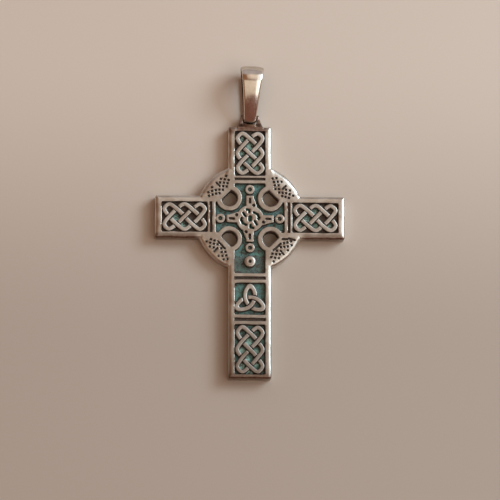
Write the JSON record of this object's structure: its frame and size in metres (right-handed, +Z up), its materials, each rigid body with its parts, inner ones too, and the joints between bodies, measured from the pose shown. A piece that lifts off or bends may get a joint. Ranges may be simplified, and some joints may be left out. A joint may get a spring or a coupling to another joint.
{
  "type": "celtic cross pendant",
  "caption": "Ringed cross pendant with knotwork panels, a pierced rosette and a hinged strap bail for a chain, lying on its flat back.",
  "frame": {"origin": "Middle of the bounding box in X and Y, on the surface that the pendant's flat back lies on", "axes": "+Z is up out of the decorated front, +Y runs up the cross towards the bail, +X is to the right as the front is seen"},
  "size_m": [0.0362, 0.0604, 0.0058],
  "materials": {
    "cast_silver": "cast sterling silver with polished high spots, dark oxidised recesses and teal tarnish on the panel floors",
    "polished_silver": "bright polished sterling silver strap with fine hairline scratches"
  },
  "bodies": {
    "cross": {"cross": "cast_silver"},
    "bail": {"bail": "polished_silver"}
  },
  "joints": [
    {"name": "bail_swing", "type": "hinge", "parent": "cross", "child": "bail", "pos_m": [0, 0.02054, 0.00122], "axis": [1, 0, 0], "range_deg": [-90, 56]}
  ]
}
